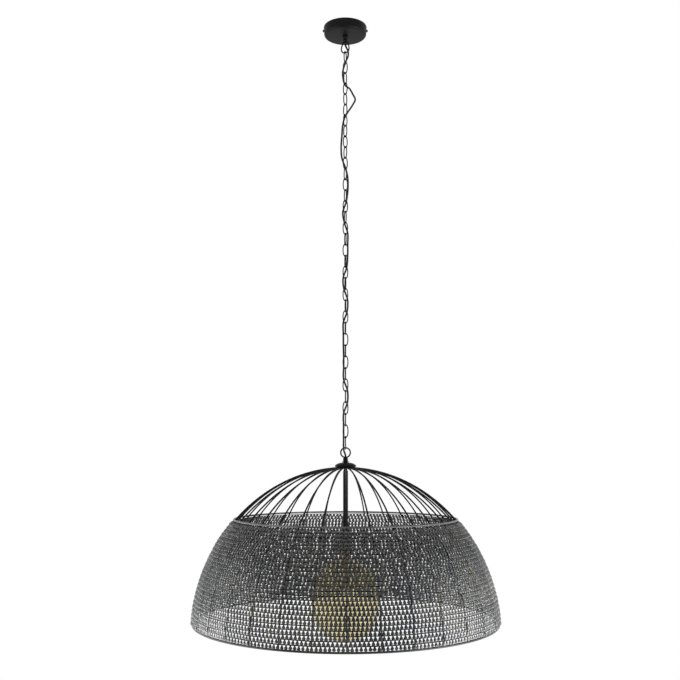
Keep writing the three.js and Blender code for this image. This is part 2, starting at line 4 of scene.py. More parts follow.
import bpy
import numpy as np
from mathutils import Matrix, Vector


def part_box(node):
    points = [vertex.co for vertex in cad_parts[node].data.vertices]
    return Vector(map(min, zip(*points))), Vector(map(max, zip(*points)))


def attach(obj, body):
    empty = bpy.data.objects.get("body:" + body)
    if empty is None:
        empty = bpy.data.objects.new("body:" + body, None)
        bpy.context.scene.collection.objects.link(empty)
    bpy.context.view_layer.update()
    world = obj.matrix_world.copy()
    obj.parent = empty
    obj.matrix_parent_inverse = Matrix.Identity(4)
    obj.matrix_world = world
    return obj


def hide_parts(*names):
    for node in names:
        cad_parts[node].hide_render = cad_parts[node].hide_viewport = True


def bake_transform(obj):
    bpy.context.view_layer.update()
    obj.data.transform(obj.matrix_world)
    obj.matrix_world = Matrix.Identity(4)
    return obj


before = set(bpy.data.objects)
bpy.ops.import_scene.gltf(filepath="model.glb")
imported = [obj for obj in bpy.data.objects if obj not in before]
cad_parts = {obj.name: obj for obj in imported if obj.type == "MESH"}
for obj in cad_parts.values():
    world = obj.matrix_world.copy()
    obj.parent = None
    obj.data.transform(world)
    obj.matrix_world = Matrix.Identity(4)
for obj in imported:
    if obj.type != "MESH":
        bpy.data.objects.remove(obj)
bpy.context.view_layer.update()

# Camera: on the photograph's viewpoint, 2.38 m in front of the lamp's axis and near the height of the shade's
# hub, looking up a little, so that the canopy's underside and the dome's hollow both show.
tilt_up = 7.28
camera_data = bpy.data.cameras.new("camera")
camera_data.sensor_width = 36
camera_data.lens = 47.65
camera = bpy.data.objects.new("camera", camera_data)
camera.location = (-0.0145, -2.381, -1.183)
camera.rotation_euler = (math.radians(90 + tilt_up), 0, 0)
bpy.context.collection.objects.link(camera)
bpy.context.scene.camera = camera
bpy.context.scene.view_settings.view_transform = "Standard"

# Flex: one 5 mm black cable. It comes straight out of the canopy's stem, changes corner at every link, stands
# off in a slack bow beside links 4 to 6, and goes in by the shade loop's neck. Where the chain bends it is
# cut into lengths.
flex_diameter, flex_end_run, flex_low_length = 0.005, 0.008, 0.036
canopy_neck_foot, shade_neck_top = -0.0413, -1.1874
flex_top_end, flex_bottom_end = -0.0136, -1.3869
link_count, link_pitch, first_link = 36, 0.0304, -0.08715
last_link = first_link - link_pitch * (link_count - 1)
twist_top, twist_end = -25, -90
corner_radius = 0.0072
flex_corners = [
    -1, -2, -3, -4, -4, -3, -2, -2, -2, -2, -3, -4, -4, -3, -2, -1, 0, 0, 0, 1, 2, 3, 4, 5, 6, 6, 6, 7, 7, 7,
    8, 8, 7, 7, 7, 7,
]
slack_radii = {
    3.5: 0.008, 4: 0.0125, 4.5: 0.021, 5: 0.0275, 5.5: 0.021,
    6.5: 0.009, 8.5: 0.0095, 9.5: 0.0115, 10.5: 0.0095,
}
flex_start = [
    (-0.0002, -0.0012, -0.049),
    (0.0026, -0.0052, -0.06),
    (0.0072, -0.0082, -0.071),
    (0.008, -0.0074, -0.086),
]
flex_end = [
    (-0.0044, -0.0044, -1.171),
    (-0.003, -0.003, -1.1756),
    (-0.0012, -0.0012, -1.1804),
]


def twist_at(place):
    """How far the chain has turned at a link, in degrees: quickly at first, then less and less."""
    return twist_top + (twist_end - twist_top) * (1 - (1 - place / (link_count + 1)) ** 2)


def link_height(place):
    return first_link - link_pitch * (place - 1)


def flex_point(place, corner):
    """Where the flex lies beside a link, in one of the four corners between it and its neighbours."""
    angle = math.radians(45 + 90 * corner + twist_at(place))
    radius = slack_radii.get(place, corner_radius)
    return Vector((radius * math.cos(angle), radius * math.sin(angle), link_height(place)))


def flex_stations():
    heights = (flex_top_end, (flex_top_end + canopy_neck_foot) / 2, canopy_neck_foot)
    points = [Vector((0, 0, height)) for height in heights]
    points += [Vector(point) for point in flex_start]
    for i, corner in enumerate(flex_corners):
        place = i + 1.5
        if place - 0.5 in slack_radii:
            points.append(flex_point(place - 0.5, corner))
        points.append(flex_point(place, corner))
    points += [Vector(point) for point in flex_end]
    middle = (shade_neck_top + flex_bottom_end) / 2
    heights = (shade_neck_top + flex_end_run / 4, shade_neck_top - flex_end_run, middle, flex_bottom_end)
    points += [Vector((0, 0, height)) for height in heights]
    return points


def smooth_line(points, steps):
    """A centripetal Catmull-Rom line through the points."""
    line = []
    ends = [points[0] * 2 - points[1], *points, points[-1] * 2 - points[-2]]
    for before, start, end, after in zip(ends, ends[1:], ends[2:], ends[3:]):
        lead, run, trail = ((b - a).length ** 0.5 for a, b in ((before, start), (start, end), (end, after)))
        leave = (start - before) / lead - (end - before) / (lead + run) + (end - start) / run
        reach = (end - start) / run - (after - start) / (run + trail) + (after - end) / trail
        leave, reach = leave * run, reach * run
        bend = (end - start) * 3 - leave * 2 - reach
        curl = (start - end) * 2 + leave + reach
        for step in range(steps):
            t = step / steps
            line.append(start + leave * t + bend * t * t + curl * t * t * t)
    line.append(points[-1])
    return line


def bent_wire(points, radius, sides, closed=False):
    """A round wire along points, as a pair of vertices and faces; radius is one value or one per point."""
    count = len(points)
    radii = radius if isinstance(radius, list) else [radius] * count
    vertices, faces = [], []
    across = None
    for i, point in enumerate(points):
        before = points[i - 1] if i or closed else point
        after = points[(i + 1) % count] if i < count - 1 or closed else point
        along = (after - before).normalized()
        if across is None:
            across = along.orthogonal().normalized()
        across = (across - along * across.dot(along)).normalized()
        up = along.cross(across)
        for side in range(sides):
            angle = 2 * math.pi * side / sides
            vertices.append(point + (across * math.cos(angle) + up * math.sin(angle)) * radii[i])
    for i in range(count if closed else count - 1):
        for side in range(sides):
            here, there, beside = i * sides, (i + 1) % count * sides, (side + 1) % sides
            faces.append((here + side, here + beside, there + beside, there + side))
    if not closed:
        faces.append(tuple(reversed(range(sides))))
        faces.append(tuple(range((count - 1) * sides, count * sides)))
    return vertices, faces


def made_piece(name, form, material, sharp):
    """An object from a form's vertices and faces, smooth except at edges sharper than an angle."""
    vertices, faces = form
    mesh = bpy.data.meshes.new(name)
    mesh.from_pydata([tuple(vertex) for vertex in vertices], [], faces)
    mesh.polygons.foreach_set("use_smooth", [True] * len(mesh.polygons))
    mesh.set_sharp_from_angle(angle=math.radians(sharp))
    mesh.materials.append(material)
    piece = bpy.data.objects.new(name, mesh)
    bpy.context.collection.objects.link(piece)
    return piece


grain_and_clouds = bpy.data.node_groups.new("grain_and_clouds", "ShaderNodeTree")
for socket, value in (("Grain Scale", 900), ("Cloud Scale", 30), ("Bump", 0.1)):
    made = grain_and_clouds.interface.new_socket(socket, in_out="INPUT", socket_type="NodeSocketFloat")
    made.default_value = value
for socket, kind in (("Grain", "Float"), ("Cloud", "Float"), ("Normal", "Vector")):
    grain_and_clouds.interface.new_socket(socket, in_out="OUTPUT", socket_type="NodeSocket" + kind)
given = grain_and_clouds.nodes.new("NodeGroupInput")
result = grain_and_clouds.nodes.new("NodeGroupOutput")
place = grain_and_clouds.nodes.new("ShaderNodeTexCoord")
for socket, scale, rounds in (("Grain", "Grain Scale", 3), ("Cloud", "Cloud Scale", 4)):
    noise = grain_and_clouds.nodes.new("ShaderNodeTexNoise")
    noise.name = socket
    noise.inputs["Detail"].default_value = rounds
    grain_and_clouds.links.new(place.outputs["Object"], noise.inputs["Vector"])
    grain_and_clouds.links.new(given.outputs[scale], noise.inputs["Scale"])
    grain_and_clouds.links.new(noise.outputs["Fac"], result.inputs[socket])
bump = grain_and_clouds.nodes.new("ShaderNodeBump")
bump.inputs["Distance"].default_value = 0.0004
grain_and_clouds.links.new(grain_and_clouds.nodes["Grain"].outputs["Fac"], bump.inputs["Height"])
grain_and_clouds.links.new(given.outputs["Bump"], bump.inputs["Strength"])
grain_and_clouds.links.new(bump.outputs["Normal"], result.inputs["Normal"])


def finish(name, dark, light, rough, metallic=0.0, grain=900, cloud=30, bump=0.1, **sockets):
    """A finish whose colour drifts from dark to light and whose roughness follows its grain."""
    material = bpy.data.materials.new(name)
    material.use_nodes = True
    nodes, links = material.node_tree.nodes, material.node_tree.links
    shader = nodes["Principled BSDF"]
    shader.inputs["Metallic"].default_value = metallic
    for socket, value in sockets.items():
        shader.inputs[socket.replace("_", " ")].default_value = value
    surface = nodes.new("ShaderNodeGroup")
    surface.name = "surface"
    surface.node_tree = grain_and_clouds
    surface.inputs["Grain Scale"].default_value = grain
    surface.inputs["Cloud Scale"].default_value = cloud
    surface.inputs["Bump"].default_value = bump
    tone = nodes.new("ShaderNodeValToRGB")
    tone.name = "tone"
    tone.color_ramp.elements[0].position = 0.35
    tone.color_ramp.elements[0].color = (*dark, 1)
    tone.color_ramp.elements[1].position = 0.65
    tone.color_ramp.elements[1].color = (*light, 1)
    links.new(surface.outputs["Cloud"], tone.inputs["Fac"])
    links.new(tone.outputs["Color"], shader.inputs["Base Color"])
    roughness = nodes.new("ShaderNodeMapRange")
    roughness.inputs["From Min"].default_value = 0.3
    roughness.inputs["From Max"].default_value = 0.7
    roughness.inputs["To Min"].default_value = rough[0]
    roughness.inputs["To Max"].default_value = rough[1]
    links.new(surface.outputs["Grain"], roughness.inputs["Value"])
    links.new(roughness.outputs["Result"], shader.inputs["Roughness"])
    links.new(surface.outputs["Normal"], shader.inputs["Normal"])
    return material


flex_black = finish("flex_black", (0.005, 0.005, 0.006), (0.011, 0.011, 0.012), (0.5, 0.75), grain=1400,
                    bump=0.25, Specular_IOR_Level=0.2)
flex_line = smooth_line(flex_stations(), steps=10)


def flex_between(high, low):
    """The flex's points between two heights, with a point exactly at each."""
    path = []
    for point, after in zip(flex_line, flex_line[1:] + [None]):
        if low < point.z < high:
            path.append(point)
        for cut in (high, low):
            if after and point.z >= cut > after.z:
                path.append(point.lerp(after, (point.z - cut) / (point.z - after.z)))
    return path


flex_cuts = [math.inf, first_link, last_link + flex_low_length, last_link, -math.inf]
flex_parts = [
    ("flex_top", "canopy", "top_link", -0.048, -0.087),
    ("flex_main", "top_link", "chain", -0.0875, -0.121),
    ("flex_low", "chain", "bottom_link", -1.122, -1.151),
    ("flex_end", "bottom_link", "shade", -1.1515, -1.186),
]
for (node, above, below, bend_from, bend_to), high, low in zip(flex_parts, flex_cuts, flex_cuts[1:]):
    path = flex_between(high, low)
    cable = bent_wire(path, flex_diameter / 2, sides=12)
    piece = made_piece(node + "_cable", cable, flex_black, sharp=50)
    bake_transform(piece)
    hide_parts(node)
    length = sum((b - a).length for a, b in zip(path, path[1:]))
    tuple(path[0])
    [tuple(point) for point in path]

# Canopy: a cup pressed from steel sheet, with a rolled corner round its floor and an open top that meets the
# ceiling, painted satin black like nearly all the metal.
black_paint = finish("black_paint", (0.003, 0.003, 0.0033), (0.005, 0.005, 0.0054), (0.36, 0.54), grain=700,
                     cloud=18, bump=0.12, Specular_IOR_Level=0.08)


def turned(profile, segments):
    """A closed profile of (radius, height), anticlockwise, turned about the lamp's axis."""
    vertices, faces, rings = [], [], []
    for radius, height in profile:
        if radius == 0:
            rings.append([len(vertices)] * segments)
            vertices.append(Vector((0, 0, height)))
            continue
        rings.append(list(range(len(vertices), len(vertices) + segments)))
        for i in range(segments):
            angle = 2 * math.pi * i / segments
            vertices.append(Vector((radius * math.cos(angle), radius * math.sin(angle), height)))
    for low, high in zip(rings, rings[1:] + rings[:1]):
        for i in range(segments):
            beside = (i + 1) % segments
            corners = dict.fromkeys((low[i], low[beside], high[beside], high[i]))
            if len(corners) > 2:
                faces.append(tuple(corners))
    return vertices, faces


def rounded(centre_radius, centre_height, radius, start, end, steps=8):
    """Points of a profile's rounded corner, from one angle to another in degrees."""
    angles = [math.radians(start + (end - start) * i / steps) for i in range(steps + 1)]
    return [(centre_radius + radius * math.cos(a), centre_height + radius * math.sin(a)) for a in angles]


def fitted(name, form, material, body, node, sharp=35):
    """A finished piece on its body and the CAD node that it stands for."""
    piece = made_piece(name, form, material, sharp)
    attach(piece, body)
    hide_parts(node)
    return piece


cup_radius = 0.0598
cup_outline = [
    (0.0053, -0.026), *rounded(0.0518, -0.019, 0.007, -90, -2), (cup_radius, -0.0006), (0.0594, 0),
    (0.059, 0), (0.0587, -0.0006), *rounded(0.0518, -0.019, 0.0058, -2, -90), (0.0053, -0.0248),
]
fitted("cup_shell", turned(cup_outline, segments=96), black_paint, "canopy", "canopy_cup")

# Side screws: two M4 machine screws with domed heads, through the cup's wall into the bracket's tabs.
# They are steel, painted with the cup.
screw_outline = [
    (0, -0.009), (0.002, -0.009), (0.002, 0), (0.004, 0),
    *rounded(0, -0.0012, 0.0046, 30, 85, steps=5), (0, 0.0034),
]
for node, side in (("side_screw_left", -1), ("side_screw_right", 1)):
    low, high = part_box(node)
    middle = (low.z + high.z) / 2
    vertices, faces = turned(screw_outline, segments=24)
    placed = [Vector((side * (cup_radius + z), side * y, middle + x)) for x, y, z in vertices]
    fitted(node + "_domed", (placed, faces), black_paint, "canopy", node)

# Bracket, terminal block and locknut: a zinc-plated steel strap under the ceiling, a moulded block with three
# ways screwed to it, and the nut that holds the canopy loop. The cup hides them, so the CAD solids show.
zinc = finish("zinc_plate", (0.42, 0.43, 0.44), (0.58, 0.59, 0.6), (0.25, 0.45), metallic=0.95, grain=500,
              cloud=60)
ivory = finish("ivory_plastic", (0.68, 0.65, 0.57), (0.76, 0.73, 0.65), (0.35, 0.5), grain=400, bump=0.05)


def finished_solid(node, material):
    """Gives a finish to a CAD solid that shows as it is."""
    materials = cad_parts[node].data.materials
    materials.clear()
    materials.append(material)


finished_solid("ceiling_bracket", zinc)
finished_solid("terminal_block", ivory)
finished_solid("loop_locknut", zinc)

# Canopy loop: a bored steel stem with a collar that the cup's floor sits on, and a pear ring welded under it
# that the chain hangs on. The cable comes down through the bore.
pear_half_width, pear_half_length, pear_taper, pear_wire_radius = 0.0121, 0.0173, 0.36, 0.0019
pear_top, pear_opening, pear_steps = -0.0394, 28, 48
stem_outline = [
    (0.0031, -0.0413), (0.0052, -0.0413), (0.006, -0.0403), (0.006, -0.0338), (0.0068, -0.0322),
    (0.0078, -0.0308), (0.008, -0.03), (0.008, -0.027), (0.0075, -0.0263), (0.005, -0.0263),
    (0.005, -0.0188), (0.0047, -0.0185), (0.0031, -0.0185),
]


def joined(*forms):
    """Several forms as one."""
    vertices, faces = [], []
    for more_vertices, more_faces in forms:
        start = len(vertices)
        vertices.extend(more_vertices)
        faces.extend(tuple(start + i for i in face) for face in more_faces)
    return vertices, faces


def swung(form, angle):
    """A form turned round the lamp's axis, by an angle in radians."""
    vertices, faces = form
    cosine, sine = math.cos(angle), math.sin(angle)
    return [Vector((x * cosine - y * sine, x * sine + y * cosine, z)) for x, y, z in vertices], faces


pear = []
for i in range(pear_steps + 1):
    angle = math.radians(pear_opening + (360 - 2 * pear_opening) * i / pear_steps)
    wide = pear_half_width * math.sin(angle) * (1 - pear_taper * math.cos(angle)) / (1 + pear_taper / 4)
    pear.append(Vector((wide, 0, pear_top - pear_half_length * (1 - math.cos(angle)))))
stem_and_pear = joined(turned(stem_outline, segments=40), bent_wire(pear, pear_wire_radius, sides=12))
canopy_loop = swung(stem_and_pear, math.radians(twist_top))
fitted("pear_loop", canopy_loop, black_paint, "canopy", "canopy_loop")

# Chain: thirty-six oval links bent from 3 mm steel wire. Each has a fine seam where the wire's ends are
# welded, and each stands a quarter turn and a little more from the one above.
link_half_width, link_half_length, link_wire_radius, link_squareness = 0.0065, 0.01685, 0.0015, 0.9
link_steps = 40
weld_seam = [
    (0.0011, link_wire_radius), (0.0004, 0.00158), (0.0001, 0.0012), (-0.0001, 0.0012), (-0.0004, 0.00158),
    (-0.0011, link_wire_radius),
]


def squarer(share):
    """A sine or cosine, pushed outwards, so that the oval is a little fuller than an ellipse."""
    return math.copysign(abs(share) ** link_squareness, share)


link_path = []
for i in range(link_steps):
    angle = 2 * math.pi * i / link_steps
    wide, high = link_half_width * squarer(math.cos(angle)), link_half_length * squarer(math.sin(angle))
    link_path.append(Vector((wide, 0, high)))
link_radii = [link_wire_radius] * link_steps
seam_place = link_steps // 2
link_path[seam_place:seam_place + 1] = [Vector((-link_half_width, 0, height)) for height, _ in weld_seam]
link_radii[seam_place:seam_place + 1] = [radius for _, radius in weld_seam]
link_form = bent_wire(link_path, link_radii, sides=12, closed=True)
link_bodies = {1: "top_link", link_count: "bottom_link"}
for number in range(1, link_count + 1):
    vertices, faces = swung(link_form, math.radians(twist_at(number) + 90 * number))
    lift = Vector((0, 0, link_height(number)))
    placed = [vertex + lift for vertex in vertices]
    node = f"chain_link_{number:02d}"
    body = link_bodies.get(number, "chain")
    fitted(node + "_wire", (placed, faces), black_paint, body, node)

# Shade loop: a round ring welded on a bored neck, whose threaded shank runs down through the round nut and
# the hub into the stem tube. The nut, a turned disc, clamps the hub cap.
loop_radius, loop_height, loop_wire_radius, loop_steps = 0.01255, -1.1768, 0.00195, 48
neck_outline = [
    (0.0031, -1.2379), (0.005, -1.2379), (0.005, -1.1989), (0.006, -1.1989), (0.0065, -1.1984),
    (0.0065, -1.1935), (0.0062, -1.1925), (0.0052, -1.1885), (0.0046, -1.1874), (0.0031, -1.1874),
]
nut_outline = [
    (0.0053, -1.2022), (0.0083, -1.2022), (0.00865, -1.2018), (0.00865, -1.1996), (0.0083, -1.1992),
    (0.0053, -1.1992),
]
loop_ring = []
for i in range(loop_steps):
    angle = 2 * math.pi * i / loop_steps
    across, up = loop_radius * math.sin(angle), loop_radius * math.cos(angle)
    loop_ring.append(Vector((across, 0, loop_height + up)))
ring = bent_wire(loop_ring, loop_wire_radius, sides=12, closed=True)
ring_and_neck = joined(turned(neck_outline, segments=40), ring)
fitted("ring_loop", ring_and_neck, black_paint, "shade", "shade_loop")
fitted("round_nut", turned(nut_outline, segments=48), black_paint, "shade", "loop_nut")

# Hub cap: a shallow dome pressed from thin steel, which covers the ends of the ribs and is held down by the
# nut. Its foot is open.
cap_thickness, cap_bore, cap_reach, cap_rise, cap_foot, cap_steps = 0.0014, 0.0053, 0.0232, 0.011, -1.2135, 12


def cap_face(inset):
    """Radii and heights from the bore down to the foot, on the cap's outside or that far inside it."""
    points = []
    for i in range(cap_steps + 1):
        angle = math.pi / 2 * i / cap_steps
        radius = cap_bore + (cap_reach - inset) * math.sin(angle)
        points.append((radius, cap_foot + (cap_rise - inset) * math.cos(angle)))
    return points


hub_dome = turned(cap_face(cap_thickness) + list(reversed(cap_face(0))), segments=64)
fitted("hub_dome", hub_dome, black_paint, "shade", "hub_cap")

# Wire dome: thirty-two bent ribs of 4 mm wire from the hub plate to the bottom ring, welded outside it and
# under the upper ring. All follow one curve. Its angle is 90 degrees at the bottom ring and nearly 0 at the
# hub. The rings and the ribs below the upper ring get a lighter black than the paint, a painted sheen.
rib_count, rib_wire_radius, hub_rib_radius = 32, 0.002, 0.02
hoop_wire_radius, hoop_steps = 0.0025, 192
dome_radius, dome_height, dome_base, dome_power = 0.388, 0.3875, -1.6031, 1.84
upper_hoop_drop, upper_hoop_offset, rib_tail_drop = 0.1345, 0.0035, 0.1385
plate_outline = [
    (0.0053, -1.2174), (0.0246, -1.2174), (0.025, -1.217), (0.025, -1.2142), (0.0246, -1.2138),
    (0.0053, -1.2138),
]
# These two are the frame's black paint made lighter and more metallic: a painted sheen on the rings and skirt
# ribs.
painted_sheen_black = finish("painted_sheen_black", (0.05, 0.05, 0.052), (0.09, 0.09, 0.092), (0.24, 0.38), metallic=0.6,
                    grain=500, cloud=14)
painted_sheen_dim = finish("painted_sheen_dim", (0.012, 0.012, 0.012), (0.024, 0.024, 0.024), (0.3, 0.45), metallic=0.4,
                      grain=500, cloud=14)


def rib_point(angle, offset=0.0):
    """Radius and height of the curve at an angle, or of a point that far outside it."""
    radius = dome_radius * math.sin(angle)
    height = dome_height * max(math.cos(angle), 0) ** (2 / dome_power)
    out = 2 * radius / dome_radius ** 2
    up = dome_power * (height / dome_height) ** (dome_power - 1) / dome_height
    slope = math.hypot(out, up)
    return radius + offset * out / slope, dome_base + height + offset * up / slope


def angle_at_drop(drop):
    """The curve's angle at a height this far below its top."""
    return math.acos((1 - drop / dome_height) ** (dome_power / 2))


def ribs(start, end, steps):
    line = []
    for i in range(steps + 1):
        radius, height = rib_point(start + (end - start) * i / steps)
        line.append(Vector((radius, 0, height)))
    rib = bent_wire(line, rib_wire_radius, sides=10)
    return joined(*(swung(rib, 2 * math.pi * i / rib_count) for i in range(rib_count)))


def hoop(radius, height):
    line = []
    for i in range(hoop_steps):
        angle = 2 * math.pi * i / hoop_steps
        line.append(Vector((radius * math.cos(angle), radius * math.sin(angle), height)))
    return bent_wire(line, hoop_wire_radius, sides=12, closed=True)


hub_angle, tail_angle = math.asin(hub_rib_radius / dome_radius), angle_at_drop(rib_tail_drop)
dome_wires = joined(turned(plate_outline, segments=48), ribs(hub_angle, tail_angle, steps=28))
upper_hoop = hoop(*rib_point(angle_at_drop(upper_hoop_drop), upper_hoop_offset))
bottom_hoop = hoop(dome_radius, dome_base)
skirt_wires = ribs(tail_angle, math.pi / 2, steps=20)
fitted("dome_wires", dome_wires, black_paint, "shade", "frame_upper", sharp=60)
fitted("upper_hoop", upper_hoop, painted_sheen_black, "shade", "frame_upper", sharp=60)
fitted("bottom_hoop", bottom_hoop, painted_sheen_dim, "shade", "frame_lower", sharp=60)
fitted("skirt_wires", skirt_wires, painted_sheen_black, "shade", "frame_lower", sharp=60)

# Bead skirt: twenty-six rows of drop beads of dark glass, on strings tight from rib to rib round the dome.
# Each drop hangs down its face with its foot over the string below. The upper rows' drops are full and the
# lower rows' slim, some with a blue, green or olive cast. Their colour is darkened on the upper rows and
# lightened on the lower ones: painted shade and painted light.
bead_rows, bead_pitch, bead_radius, bead_sides = 26, 0.0097, 0.0043, 8
full_rows, slimming_rows = 5, 10
full_outline = [
    (0.02, 0.46), (0.14, 0.62), (0.32, 0.85), (0.52, 1.02), (0.7, 1.06), (0.88, 0.9), (0.97, 0.5),
]
slim_outline = [
    (0.03, 0.3), (0.18, 0.42), (0.36, 0.64), (0.56, 0.94), (0.72, 1.04), (0.88, 0.86), (0.97, 0.45),
]
bead_glass = finish("bead_glass", (0.026, 0.026, 0.027), (0.075, 0.075, 0.075), (0.1, 0.2), grain=500,
                    cloud=9, bump=0.05, Transmission_Weight=0.06, Specular_IOR_Level=0.16)
nodes, links = bead_glass.node_tree.nodes, bead_glass.node_tree.links
casts = nodes.new("ShaderNodeValToRGB")
casts.color_ramp.elements[0].position = 0.25
casts.color_ramp.elements[0].color = (0.42, 0.6, 0.95, 1)
casts.color_ramp.elements[1].position = 0.75
casts.color_ramp.elements[1].color = (1.0, 0.92, 0.5, 1)
for position, colour in ((0.4, (0.82, 0.86, 0.9, 1)), (0.5, (0.92, 1.0, 0.96, 1)), (0.6, (1.0, 1.0, 1.0, 1))):
    casts.color_ramp.elements.new(position).color = colour
each_bead = nodes.new("ShaderNodeAttribute")
each_bead.attribute_name = "tone"
cast_mix = nodes.new("ShaderNodeMix")
cast_mix.inputs["Factor"].default_value = 0.35
links.new(nodes["surface"].outputs["Cloud"], cast_mix.inputs["A"])
links.new(each_bead.outputs["Fac"], cast_mix.inputs["B"])
links.new(cast_mix.outputs["Result"], casts.inputs["Fac"])
tinted = nodes.new("ShaderNodeMix")
tinted.data_type = "RGBA"
tinted.blend_type = "MULTIPLY"
tinted.inputs["Factor"].default_value = 1
links.new(nodes["tone"].outputs["Color"], tinted.inputs["A"])
links.new(casts.outputs["Color"], tinted.inputs["B"])
# Each bead's row share scales its base colour from 0.25 on the upper rows to 1.3 on the lower: painted shade
# above, painted light below.
clear = nodes.new("ShaderNodeAttribute")
clear.attribute_name = "clear"
painted_shade_scale = nodes.new("ShaderNodeMapRange")
painted_shade_scale.inputs["To Min"].default_value = 0.25
painted_shade_scale.inputs["To Max"].default_value = 1.3
links.new(clear.outputs["Fac"], painted_shade_scale.inputs["Value"])
painted_shade_colour = nodes.new("ShaderNodeVectorMath")
painted_shade_colour.operation = "SCALE"
links.new(tinted.outputs["Result"], painted_shade_colour.inputs["Vector"])
links.new(painted_shade_scale.outputs["Result"], painted_shade_colour.inputs["Scale"])
links.new(painted_shade_colour.outputs["Vector"], nodes["Principled BSDF"].inputs["Base Color"])

first_string_drop, last_string_gap, string_offset, row_samples = 0.1395, 0.0028, 0.0034, 400
skirt_top = angle_at_drop(first_string_drop)
skirt_angles = [skirt_top + (math.pi / 2 - skirt_top) * i / row_samples for i in range(row_samples + 1)]
lengths = [0.0]
for near, far in zip(skirt_angles, skirt_angles[1:]):
    lengths.append(lengths[-1] + math.dist(rib_point(near), rib_point(far)))
skirt_length = lengths[-1] - last_string_gap


def string_place(row):
    """Radius and height of a row's string, the rows being evenly spaced along the dome's curve."""
    along = row / bead_rows * skirt_length
    angle = float(np.interp(along, lengths, skirt_angles))
    return rib_point(angle, string_offset)


def bead_form(outline):
    """A bead 1 long and 1 in radius from its string down, as an array of points."""
    points = [(0, 0, 0)]
    for down, out in outline:
        for side in range(bead_sides):
            angle = 2 * math.pi * side / bead_sides
            points.append((out * math.cos(angle), out * math.sin(angle), down))
    points.append((0, 0, 1))
    return np.array(points)


full_bead, slim_bead = bead_form(full_outline), bead_form(slim_outline)
foot = len(full_bead) - 1
bead_faces = []
for side in range(bead_sides):
    beside = (side + 1) % bead_sides
    bead_faces.append((0, 1 + beside, 1 + side))
    bead_faces.append((foot, foot - bead_sides + side, foot - bead_sides + beside))
    for here in range(1, foot - bead_sides, bead_sides):
        there = here + bead_sides
        bead_faces.append((here + side, here + beside, there + beside, there + side))

chance = random.Random(7)
string_slip, spacing_play, lean_play, foot_lift = 0.0006, 0.07, 0.15, (0.12, 0.22)
width_play, length_play, widest_fit = (0.94, 1.07), (0.96, 1.04), 1.03
string_wire_radii, looseness = (0.001, 0.0014), (0.5, 0.25)
width_shares, depth_shares, length_shares = (0.92, 1), (0.48, 0.28), (1.18, 1)


def slimmed(ends, slim):
    """A value between that of a full bead and that of a slim one."""
    return ends[0] + (ends[1] - ends[0]) * slim


def strung_row(row, slim):
    """A row's string, as a point beside each rib, none at quite the same height, and as a wire."""
    radius, height = string_place(row)
    string = []
    for i in range(rib_count):
        angle = 2 * math.pi * i / rib_count
        slip = chance.uniform(-string_slip, string_slip)
        string.append(Vector((radius * math.cos(angle), radius * math.sin(angle), height + slip)))
    return string, bent_wire(string, slimmed(string_wire_radii, slim), sides=6, closed=True)


def hung_beads(row, slim, string):
    """A row's beads, hanging from the string down the dome's face: the points and the tone of each."""
    bead = slimmed((full_bead, slim_bead), slim)
    loose = slimmed(looseness, slim)
    radius, height = string_place(row)
    below_radius, below_height = string_place(row + 1)
    bay = 2 * radius * math.sin(math.pi / rib_count)
    count = round(rib_count * bay / bead_pitch)
    pitch, start_at = rib_count * bay / count, chance.random()
    for i in range(count):
        shift = chance.uniform(-spacing_play, spacing_play) * loose
        along = ((i + start_at + shift) * pitch / bay) % rib_count
        rib = int(along)
        start, end = string[rib], string[(rib + 1) % rib_count]
        across = (end - start).normalized()
        out = Vector(((start + end).x, (start + end).y, 0)).normalized()
        down = out * (below_radius - radius) * math.cos(math.pi / rib_count)
        down += Vector((0, 0, below_height - height))
        length = down.length
        down.normalize()
        face = across.cross(down).normalized()
        if face.dot(out) < 0:
            face = -face
        lean = down + across * chance.uniform(-lean_play, lean_play) * loose
        lean += face * chance.uniform(*foot_lift)
        lean.normalize()
        side = lean.cross(face).normalized()
        front = side.cross(lean)
        size = bead_radius * slimmed(width_shares, slim) * chance.uniform(*width_play)
        size *= min(pitch / bead_pitch, widest_fit)
        spin = chance.uniform(0, 1)
        turn = np.array([
            [math.cos(spin), math.sin(spin), 0],
            [-math.sin(spin), math.cos(spin), 0],
            [0, 0, 1],
        ])
        tall = length * slimmed(length_shares, slim) * chance.uniform(*length_play)
        axes = np.array([side * size, front * size * slimmed(depth_shares, slim), lean * tall])
        yield bead @ turn @ axes + np.array(start.lerp(end, along - rib)), chance.random()


bead_bands = (("bead_band_upper", 0, bead_rows // 2), ("bead_band_lower", bead_rows // 2, bead_rows))
for band, first_row, last_row in bead_bands:
    beads, tones, painted_light_shares, strings = [], [], [], []
    for row in range(first_row, last_row):
        slim = min(max((row - full_rows) / slimming_rows, 0), 1)
        string, wire = strung_row(row, slim)
        strings.append(wire)
        for bead, bead_tone in hung_beads(row, slim, string):
            beads.append(bead)
            tones.append(bead_tone)
            painted_light_shares.append(slim)
    faces = []
    for i in range(len(beads)):
        base = i * len(full_bead)
        faces.extend(tuple(base + corner for corner in bead_face) for bead_face in bead_faces)
    form = (np.concatenate(beads), faces)
    drops = fitted(band + "_drops", form, bead_glass, "shade", band, sharp=12)
    for name, values in (("tone", tones), ("clear", painted_light_shares)):
        spread = drops.data.attributes.new(name, "FLOAT", "POINT")
        spread.data.foreach_set("value", np.repeat(np.array(values, dtype=np.float32), len(full_bead)))
    fitted(band + "_strings", joined(*strings), black_paint, "shade", band, sharp=60)

